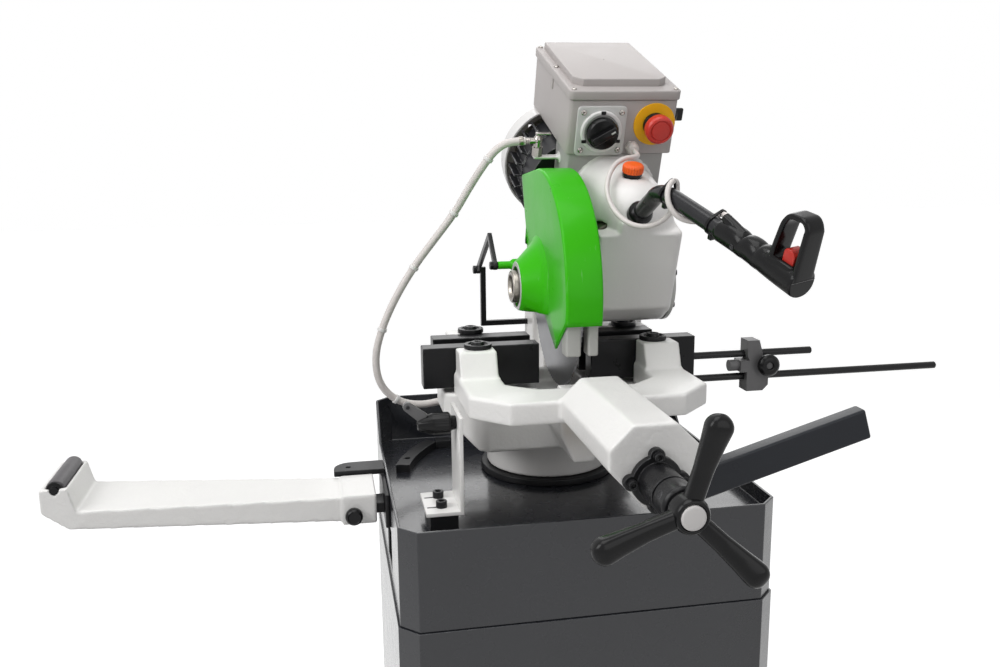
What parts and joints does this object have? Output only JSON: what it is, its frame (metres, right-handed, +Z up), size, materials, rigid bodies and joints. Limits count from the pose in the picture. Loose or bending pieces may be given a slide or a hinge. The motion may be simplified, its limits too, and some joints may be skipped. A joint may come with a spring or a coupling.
{
  "type": "metal cut-off saw",
  "caption": "Manual pull-down circular cold saw on a floor cabinet, with swivelling hinged head, swinging blade hood, screw vise, length stop and side roller support.",
  "frame": {"origin": "on the floor under the turntable axis", "axes": "+X to the operator's right, +Y to the back, +Z up"},
  "size_m": [1.223, 0.7937, 1.4105],
  "materials": {
    "stand_paint": "semi-gloss anthracite",
    "tank_paint": "satin",
    "pump_plastic": "satin",
    "dark_casting": "matt black",
    "white_casting": "gloss off-white paint",
    "white_plate": "gloss off-white paint",
    "bronze": "machined",
    "jaw_steel": "black",
    "black_steel": "blackened steel",
    "lever_paint": "semi-gloss anthracite",
    "black_plastic": "black",
    "roller_rubber": "black",
    "cap_grey": "pale grey",
    "steel": "machined",
    "blade_steel": "ground",
    "grey_casting": "satin light grey paint",
    "grey_cover": "satin light grey paint",
    "cowl_white": "off-white",
    "hood_green": "gloss green",
    "deflector_grey": "pale grey",
    "box_plastic": "beige grey",
    "tube_paint": "satin black",
    "valve_metal": "plated",
    "cable_white": "off-white",
    "switch_white": "pale",
    "estop_yellow": "yellow",
    "estop_red": "red",
    "cap_orange": "orange"
  },
  "bodies": {
    "stand": {"stand_cabinet": "stand_paint", "chip_tray": "stand_paint", "coolant_tank": "tank_paint", "coolant_pump": "pump_plastic", "centre_column": "dark_casting", "vise_base": "white_casting", "vise_nut": "bronze", "rear_jaws": "jaw_steel", "rear_jaw_clamps": "black_steel", "brace_bracket": "white_plate", "mitre_stops": "dark_casting", "arm_flange": "dark_casting", "tray_screws": "black_steel"},
    "brace_lever": {"brace_lever": "black_plastic"},
    "mitre_lever": {"mitre_lever": "lever_paint"},
    "support_arm": {"support_arm": "white_casting"},
    "support_roller": {"support_roller": "roller_rubber"},
    "arm_knob": {"arm_knob": "black_plastic"},
    "vise_slide": {"vise_slide": "white_casting", "screw_flange": "black_steel", "front_jaw_clamps": "black_steel", "front_jaws": "jaw_steel", "stop_rods": "black_steel"},
    "handwheel": {"vise_screw": "steel", "screw_collar": "black_steel", "handwheel": "black_plastic", "handwheel_cap": "cap_grey"},
    "stop_block": {"stop_block": "black_steel"},
    "stop_knob": {"stop_knob": "black_plastic"},
    "swivel": {"turntable": "grey_casting", "hinge_pin": "steel", "guard_rod": "black_steel", "return_spring": "steel", "coolant_hose": "cable_white"},
    "head": {"gear_case": "grey_casting", "gear_case_cover": "grey_cover", "motor_housing": "grey_cover", "fan_cover": "cowl_white", "box_base": "box_plastic", "box_lid": "box_plastic", "handle_tube": "tube_paint", "handle_grip": "black_plastic", "coolant_valve": "valve_metal", "spindle_bearings": "steel", "control_cable": "cable_white", "switch_plate": "switch_white", "estop_plate": "estop_yellow"},
    "hood": {"hood": "hood_green", "chip_deflectors": "deflector_grey"},
    "guard_link": {"guard_link": "black_steel"},
    "spindle": {"spindle": "steel", "blade": "blade_steel", "worm_wheel": "bronze"},
    "motor_rotor": {"motor_rotor": "steel"},
    "main_switch_knob": {"main_switch_knob": "black_plastic"},
    "estop_button": {"estop_button": "estop_red"},
    "selector_knob": {"selector_knob": "black_plastic"},
    "trigger": {"trigger": "estop_red"},
    "coolant_lever": {"coolant_lever": "valve_metal"},
    "filler_cap": {"filler_cap": "cap_orange"}
  },
  "joints": [
    {"name": "brace_turn", "type": "hinge", "parent": "stand", "child": "brace_lever", "pos_m": [-0.19, -0.19, 0.93], "axis": [1, 0, 0], "range_deg": [-60, 60]},
    {"name": "mitre_turn", "type": "hinge", "parent": "stand", "child": "mitre_lever", "pos_m": [0.042, -0.4, 0.902], "axis": [0, -1, 0], "range_deg": [-45, 5]},
    {"name": "arm_extend", "type": "slide", "parent": "stand", "child": "support_arm", "axis": [-1, 0, 0], "range_m": [0, 0.06]},
    {"name": "roller_spin", "type": "hinge", "parent": "support_arm", "child": "support_roller", "pos_m": [-0.645, -0.0775, 0.858], "axis": [0, 1, 0], "continuous": true},
    {"name": "arm_knob_turn", "type": "hinge", "parent": "support_arm", "child": "arm_knob", "pos_m": [-0.287, -0.13, 0.793], "axis": [0, 1, 0], "range_deg": [-180, 180]},
    {"name": "vise_travel", "type": "slide", "parent": "stand", "child": "vise_slide", "axis": [0, -1, 0], "range_m": [-0.027, 0.07]},
    {"name": "handwheel_turn", "type": "hinge", "parent": "vise_slide", "child": "handwheel", "pos_m": [0, -0.56, 0.94], "axis": [0, -1, 0], "range_deg": [-975, 2525]},
    {"name": "stop_travel", "type": "slide", "parent": "vise_slide", "child": "stop_block", "axis": [1, 0, 0], "range_m": [-0.05, 0.06]},
    {"name": "stop_knob_turn", "type": "hinge", "parent": "stop_block", "child": "stop_knob", "pos_m": [0.288, -0.11, 0.96], "axis": [0, 1, 0], "range_deg": [-180, 180]},
    {"name": "swivel_turn", "type": "hinge", "parent": "stand", "child": "swivel", "pos_m": [0, 0, 0.84], "axis": [0, 0, 1], "range_deg": [-15, 15]},
    {"name": "head_pivot", "type": "hinge", "parent": "swivel", "child": "head", "pos_m": [0.0875, 0.123, 1.035], "axis": [-1, 0, 0], "range_deg": [0, 45]},
    {"name": "hood_swing", "type": "hinge", "parent": "head", "child": "hood", "pos_m": [-0.0035, -0.057, 1.075], "axis": [1, 0, 0], "range_deg": [0, 40]},
    {"name": "link_swing", "type": "hinge", "parent": "swivel", "child": "guard_link", "pos_m": [-0.077, 0.133, 1.074], "axis": [-1, 0, 0], "range_deg": [0, 56]},
    {"name": "motor_spin", "type": "hinge", "parent": "head", "child": "motor_rotor", "pos_m": [0.059, -0.08368, 1.1483], "axis": [0, 0.9397, 0.342], "continuous": true},
    {"name": "spindle_spin", "type": "hinge", "parent": "head", "child": "spindle", "pos_m": [0, -0.057, 1.075], "axis": [1, 0, 0], "continuous": true},
    {"name": "main_switch_turn", "type": "hinge", "parent": "head", "child": "main_switch_knob", "pos_m": [0.062, -0.0609, 1.27577], "axis": [0, 0.9397, 0.342], "range_deg": [0, 90]},
    {"name": "estop_press", "type": "slide", "parent": "head", "child": "estop_button", "axis": [0, 0.9397, 0.342], "range_m": [0, 0.005], "stiffness_N_per_m": 900},
    {"name": "selector_turn", "type": "hinge", "parent": "head", "child": "selector_knob", "pos_m": [0.175, -0.02776, 1.30167], "axis": [1, 0, 0], "range_deg": [-45, 45]},
    {"name": "trigger_press", "type": "slide", "parent": "head", "child": "trigger", "axis": [0, 0.3784, -0.9256], "range_m": [0, 0.004], "stiffness_N_per_m": 600},
    {"name": "coolant_turn", "type": "hinge", "parent": "head", "child": "coolant_lever", "pos_m": [-0.01, 0.00745, 1.27511], "axis": [0, -0.342, 0.9397], "range_deg": [0, 90]},
    {"name": "filler_turn", "type": "hinge", "parent": "head", "child": "filler_cap", "pos_m": [0.09, -0.10421, 1.22809], "axis": [0, -0.342, 0.9397], "range_deg": [0, 360]}
  ],
  "couplings": [
    {"joint": "handwheel_turn", "follows": "vise_travel", "rad_per_m": 628.32},
    {"joint": "hood_swing", "follows": "head_pivot", "ratio": 0.847},
    {"joint": "link_swing", "follows": "head_pivot", "ratio": 1.22},
    {"joint": "spindle_spin", "follows": "motor_spin", "ratio": 0.055556}
  ]
}
